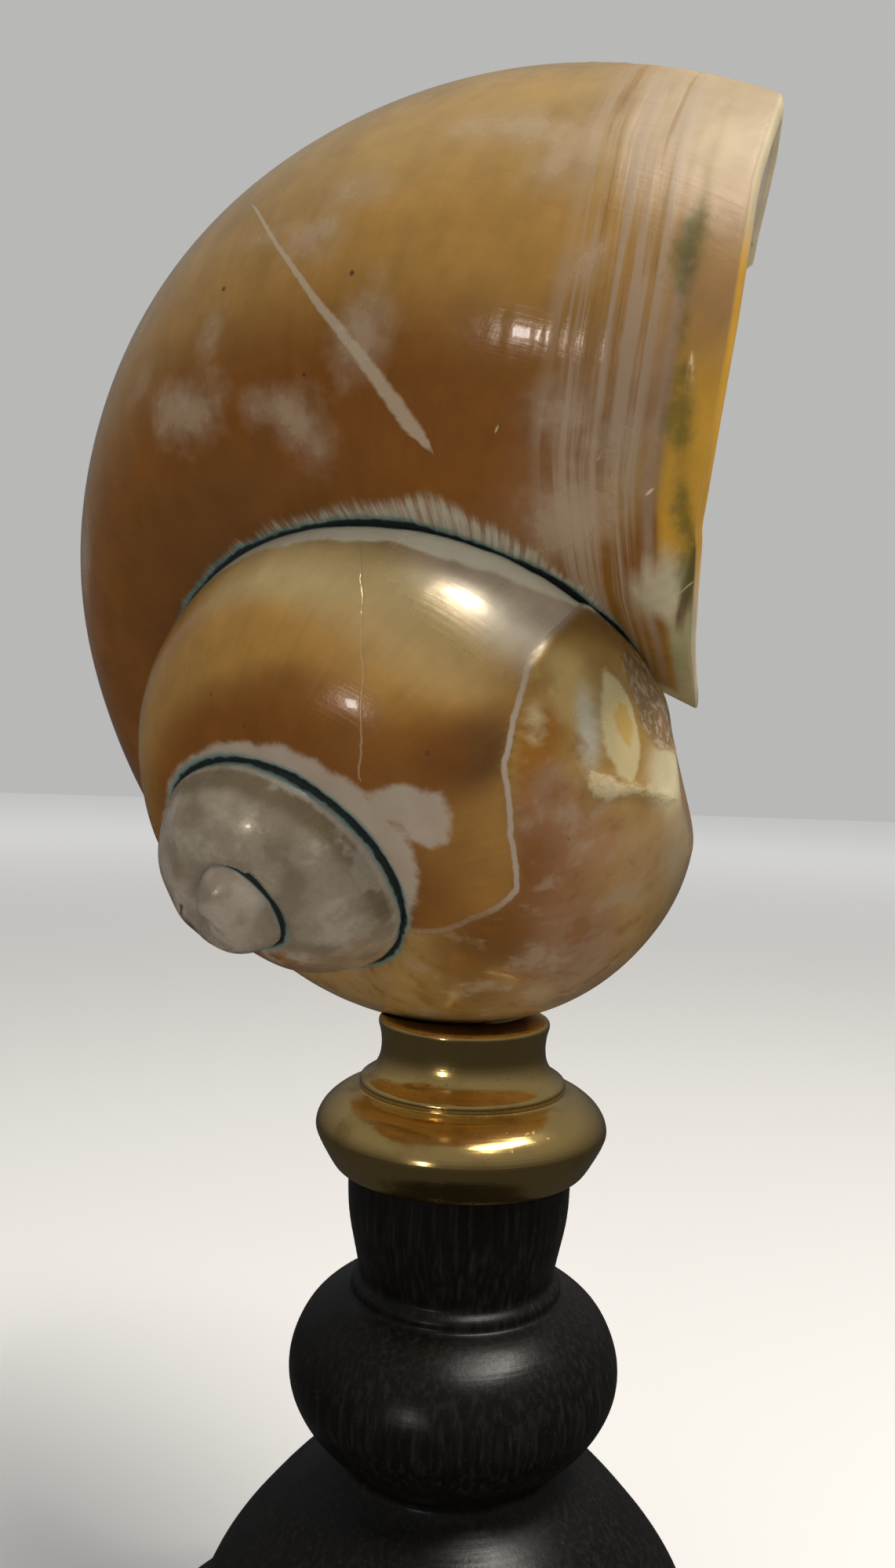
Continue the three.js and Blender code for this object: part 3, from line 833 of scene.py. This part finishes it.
# The rounded lip and the hollow behind it.
edge_rows = 7
hollow_rows = 110
edge_bulge = 0.6
inner_lip = lip_angle(turn_row, wall_at_lip, pillar_radius) - short_of_lip
inner_share = np.linspace(0, 1, hollow_rows)[:, None] ** 1.15
inner_angles = inner_lip + inner_share * (hollow_end - inner_lip)
inner_turns = turn_row + 0 * inner_angles
pillar = pillar_radius * np.exp(0.5 * growth_rate * inner_angles)
inner_points = placed(inner_angles, *section_point(inner_angles, inner_turns, wall_at_lip, pillar))
share = ((np.arange(edge_rows) + 1) / (edge_rows + 1))[:, None, None]
outward = outer_points[-1] - outer_points[-3]
outward = outward / np.linalg.norm(outward, axis=-1, keepdims=True)
across_wall = 0.5 - 0.5 * np.cos(math.pi * share)
edge_points = (outer_points[-1] * (1 - across_wall) + inner_points[0] * across_wall
               + outward * np.sin(math.pi * share) * edge_bulge)
shell_points = np.concatenate([cap_points, outer_points, edge_points, inner_points])
shell_mesh = closed_mesh("polished_shell", shell_points)


def keep_values(name, outer, edge, inside):
    """Keeps three numbers for every point under one name: given on the outer rows, held from the
    first of them over the tip, and with one value each for the lip's edge and for the hollow."""
    rows = [np.repeat(outer[:1], cap_rows, axis=0), outer]
    rows.append(np.ones((edge_rows,) + outer.shape[1:]) * edge)
    rows.append(np.ones((hollow_rows,) + outer.shape[1:]) * inside)
    values = np.concatenate(rows)
    poles = np.stack([values[0].mean(axis=0), values[-1].mean(axis=0)])
    layer = shell_mesh.attributes.new(name, "FLOAT_VECTOR", "POINT")
    layer.data.foreach_set("vector", np.concatenate([values.reshape(-1, 3), poles]).ravel())


# What the material needs to know at every point of the mesh.
pearl_share = 0.06 + 0.38 * wash_share(-406, 8, 17.0, 10.0) + 0.25 * patch(-640 - degrees_grid, 60)
pearl_share += 0.04 * patch(callus, 2.0)
amber_edge = by_amber_lip[-1] * patch(97 - turn_degrees[-1], 8)
edge_tint = washed(np.ones((len(turn_row), 3)) * (0.50, 0.42, 0.27), lip_amber, amber_edge)
mouth_tint = (0.66, 0.60, 0.52)
out = -4.0       # outside every outline
no_line = 9      # far from every line
no_seam = 40     # far from every seam
kept_values = [
    ("seams", (from_above, from_below, lip_margin), (no_seam, no_seam, 0), no_seam),
    ("pale", (ivory_band, feather_band, milky_clouds), out, out),
    ("lines", (scar_in_halves, crack_line, groove), (no_line, no_line, out), (no_line, no_line, out)),
    ("wrap", (30 * angle_grid, 20 * turn_grid, callus), (0, 0, out), (0, 0, out)),
    ("finish", (pearl_share, crust, black_seam), (0.1, out, out), (0.25, out, out)),
    ("callus_marks", (cream_patch, amber_spot, rough_zone), out, out)]
keep_values("tint", tint, edge_tint, mouth_tint)
for name, three, edge, inside in kept_values:
    keep_values(name, np.stack(three, axis=-1), edge, inside)

pearl, tree, shader, place = new_material("polished_pearl_shell")


def stored(name):
    """The three numbers that the shell's mesh keeps under one name, as sockets."""
    kept = node(tree, "ShaderNodeAttribute", attribute_name=name).outputs["Vector"]
    parts = node(tree, "ShaderNodeSeparateXYZ", {"Vector": kept})
    return parts.outputs["X"], parts.outputs["Y"], parts.outputs["Z"]


def joined(x, y):
    """Two sockets or numbers as a vector."""
    return node(tree, "ShaderNodeCombineXYZ", {"X": x, "Y": y}).outputs["Vector"]


def times(a, b):
    """The product of two sockets or numbers."""
    return calc(tree, "MULTIPLY", a, b)


def scaled(value, by, start):
    """A value times a number, plus a start."""
    return calc(tree, "MULTIPLY_ADD", value, by, start)


def ramp(value, low, high):
    """A smooth step from 0 at low to 1 at high."""
    return between(tree, value, low, high)


def sparse(place, scale, letter, size, chance):
    """Small round spots in the middle of a few cells of a scattered pattern: each cell draws a
    number, kept as one letter of its colour, and has its spot where that is past the chance."""
    cells = node(tree, "ShaderNodeTexVoronoi", {"Vector": place, "Scale": scale})
    drawn = node(tree, "ShaderNodeSeparateXYZ", {"Vector": cells.outputs["Color"]}).outputs[letter]
    return times(ramp(cells.outputs["Distance"], *size), ramp(drawn, *chance))


def wavy(value, *pushes):
    """A value pushed to and fro by each (noise, by) pair, up to half of by either way."""
    for noise, by in pushes:
        value = calc(tree, "ADD", value, times(calc(tree, "SUBTRACT", noise, 0.5), by))
    return value


def grain_along(x, y, rough, detail=4.0):
    """Noise over two sockets, so that it runs out in lines where one of them changes slowly."""
    return cloud(tree, joined(x, y), 1.0, detail, rough)


_, below, lip_away = stored("seams")
ivory, feathers, milky = stored("pale")
scar_away, crack_away, groove_in = stored("lines")
growth, round_turn, callus_in = stored("wrap")
pearliness, crust_in, seam_in = stored("finish")
cream_in, spot_in, rough_in = stored("callus_marks")

wide = cloud(tree, place, 0.07, 3.0, 0.55)
lumps = cloud(tree, place, 0.33, 4.0, 0.55)
grit = cloud(tree, place, 1.5, 3.0, 0.55)
blotches = cloud(tree, place, 0.24, 3.0, 0.5)
growth_lines = grain_along(times(growth, 1.3), times(round_turn, 0.05), 0.6)
fine_growth = grain_along(times(growth, 4.0), times(round_turn, 0.12), 0.6, 3.0)
spiral_lines = grain_along(times(growth, 0.05), times(round_turn, 1.8), 0.6)
lip_lines = grain_along(times(lip_away, 1.1), times(round_turn, 0.035), 0.6)
slanting = scaled(round_turn, -0.85, growth)
strokes = grain_along(times(slanting, 1.9), times(round_turn, 0.25), 0.65)

near_lip = times(ramp(wavy(lip_away, (lumps, 3.0)), 12.5, 9.0), ramp(lip_away, 3.8, 5.0))
small_whorls = ramp(growth, -318.0, -340.0)
on_spire = ramp(growth, -140.0, -165.0)
on_callus_side = times(ramp(callus_in, 0.3, 1.2), ramp(round_turn, 4.0, 10.0))
milky_share = ramp(wavy(milky, (lumps, 4.2), (grit, 0.6)), -1.4, 2.4)
milky_share = times(milky_share, scaled(grit, 0.5, 0.80))
feather_share = ramp(wavy(feathers, (strokes, 1.5), (lumps, 1.6)), -0.5, 1.0)
feather_share = times(feather_share, scaled(ramp(strokes, 0.35, 0.62), 0.6, 0.4))
scar_share = ramp(calc(tree, "ABSOLUTE", wavy(scar_away, (grit, 0.9), (lumps, 0.8))), 1.3, 0.6)
scar_length = times(ramp(round_turn, 31.8, 31.2), ramp(round_turn, 10.8, 11.6))
crack_share = ramp(calc(tree, "ABSOLUTE", wavy(crack_away, (lumps, 0.8))), 0.11, 0.03)
ivory_share = ramp(wavy(ivory, (grit, 0.6), (lumps, 1.6)), -0.25, 0.50)
# Painted shade: the ivory is white only beside the seam with the last whorl, over the newest stretch of the
# second whorl, and is painted a darker grey everywhere else.
unshaded_ivory_share = times(ramp(below, 5.0, 3.4), ramp(growth, -262.0, -215.0))
ivory_with_painted_shade = paint(tree, (0.35, 0.29, 0.225, 1), (0.76, 0.72, 0.56, 1), unshaded_ivory_share)
groove_share = ramp(wavy(groove_in, (grit, 0.9), (lumps, 3.0)), -0.7, 0.7)
margin_away = calc(tree, "ABSOLUTE", calc(tree, "SUBTRACT", wavy(callus_in, (grit, 0.25)), 0.26))
margin_share = times(ramp(margin_away, 0.26, 0.10), scaled(ramp(round_turn, 24.0, 19.0), 0.75, 0.25))
rough_share = ramp(wavy(rough_in, (grit, 0.8), (lumps, 1.0)), -0.1, 0.5)
cream_share = ramp(wavy(cream_in, (grit, 0.35), (lumps, 0.8)), -0.15, 0.35)
spot_share = ramp(wavy(spot_in, (grit, 0.4)), -0.10, 0.25)
crust_share = ramp(wavy(crust_in, (grit, 0.9), (lumps, 0.8)), -0.1, 0.5)
teal_share = ramp(wavy(seam_in, (lumps, 0.9), (grit, 0.4)), -0.60, -0.02)
black_share = ramp(wavy(seam_in, (grit, 0.45), (lumps, 0.5)), -0.10, 0.10)
speck_share = sparse(place, 0.30, "X", (0.075, 0.045), (0.86, 0.88))
tick_place = joined(times(growth, 0.9), times(round_turn, 0.24))
tick_share = times(sparse(tick_place, 1.0, "Y", (0.12, 0.06), (0.80, 0.82)), ramp(lip_away, 24.0, 12.0))

# The finer colour, layer over layer: a colour, where it lies, and how much it covers there.
colour_layers = [
    ((0.34, 0.25, 0.17, 1), times(near_lip, ramp(lip_lines, 0.44, 0.58)), 0.75),
    ((0.19, 0.09, 0.025, 1), times(near_lip, ramp(lip_lines, 0.44, 0.34)), 0.6),
    ((0.13, 0.09, 0.055, 1), times(small_whorls, ramp(blotches, 0.47, 0.60)), 0.45),
    ((0.50, 0.45, 0.37, 1), times(small_whorls, ramp(wavy(blotches, (grit, 0.3)), 0.46, 0.36)), 0.4),
    ((0.36, 0.27, 0.18, 1), milky_share, scaled(on_spire, 0.15, 0.70)),
    ((0.48, 0.47, 0.37, 1), feather_share, 0.75),
    ((0.42, 0.34, 0.24, 1), times(scar_share, scar_length), 0.75),
    ((0.36, 0.26, 0.14, 1), crack_share, 0.6),
    # the ivory, with painted shade away from the newest seam
    (ivory_with_painted_shade, ivory_share, scaled(lumps, 0.5, 0.62)),
    ((0.08, 0.085, 0.02, 1), groove_share, 0.72),
    ((0.30, 0.22, 0.14, 1), times(on_callus_side, ramp(lumps, 0.52, 0.66)), 0.6),
    ((0.22, 0.085, 0.012, 1), times(on_callus_side, ramp(lumps, 0.46, 0.34)), 0.5),
    ((0.40, 0.33, 0.26, 1), margin_share, 0.8),
    ((0.42, 0.33, 0.22, 1), times(rough_share, ramp(grit, 0.46, 0.62)), 0.55),
    ((0.56, 0.48, 0.26, 1), cream_share, 0.78),
    ((0.50, 0.32, 0.08, 1), spot_share, 0.85),
    ((0.46, 0.38, 0.22, 1), crust_share, 0.8),
    ((0.055, 0.17, 0.16, 1), teal_share, 0.75),
    ((0.010, 0.012, 0.013, 1), black_share, 0.96),
    ((0.05, 0.03, 0.015, 1), speck_share, 0.85),
    ((0.60, 0.50, 0.30, 1), tick_share, 0.75)]
shade = scaled(growth_lines, 0.22, scaled(lumps, 0.50, scaled(wide, -0.55, 0.92)))
broad = node(tree, "ShaderNodeAttribute", attribute_name="tint").outputs["Vector"]
colour = node(tree, "ShaderNodeVectorMath", {0: broad, "Scale": shade}, operation="SCALE").outputs["Vector"]
for over, where, most in colour_layers:
    colour = paint(tree, colour, over, times(where, most))
tree.links.new(colour, shader.inputs["Base Color"])

# The gloss: polished all over, duller by the lip's corner, in the clouds, seams and rough places.
dull_corner = times(ramp(lip_away, 13.0, 6.0), ramp(round_turn, 17.0, 9.0))
roughness = scaled(grit, 0.08, 0.17)
for where, by in [
        (dull_corner, 0.34), (ramp(pearliness, 0.10, 0.45), 0.10), (milky_share, 0.10),
        (feather_share, 0.16), (calc(tree, "MAXIMUM", crust_share, rough_share), 0.22), (black_share, 0.30)]:
    roughness = scaled(where, by, roughness)
tree.links.new(roughness, shader.inputs["Roughness"])
not_pearly = calc(tree, "MAXIMUM", calc(tree, "MAXIMUM", black_share, crust_share), times(ivory_share, 0.85))
tree.links.new(times(pearliness, calc(tree, "SUBTRACT", 1.0, not_pearly)), shader.inputs["Metallic"])
tree.links.new(scaled(dull_corner, -0.22, 0.22), shader.inputs["Coat Weight"])
height = times(lumps, 0.5)
for where, by in [
        (fine_growth, 0.07), (times(lip_lines, near_lip), 0.35), (spiral_lines, 0.16),
        (times(small_whorls, grit), 0.22), (times(feather_share, strokes), 0.5),
        (times(crust_share, cloud(tree, place, 2.6, 4.0, 0.6)), 2.5), (times(rough_share, grit), 1.4),
        (black_share, -0.7), (tick_share, 0.6), (crack_share, -0.3)]:
    height = scaled(where, by, height)
bumpy(tree, shader, height, 0.45, 0.00022)
shader.inputs["IOR"].default_value = 1.50
shader.inputs["Specular IOR Level"].default_value = 0.36
shader.inputs["Coat Roughness"].default_value = 0.06
show("polished_shell", shell_mesh, pearl, "shell")
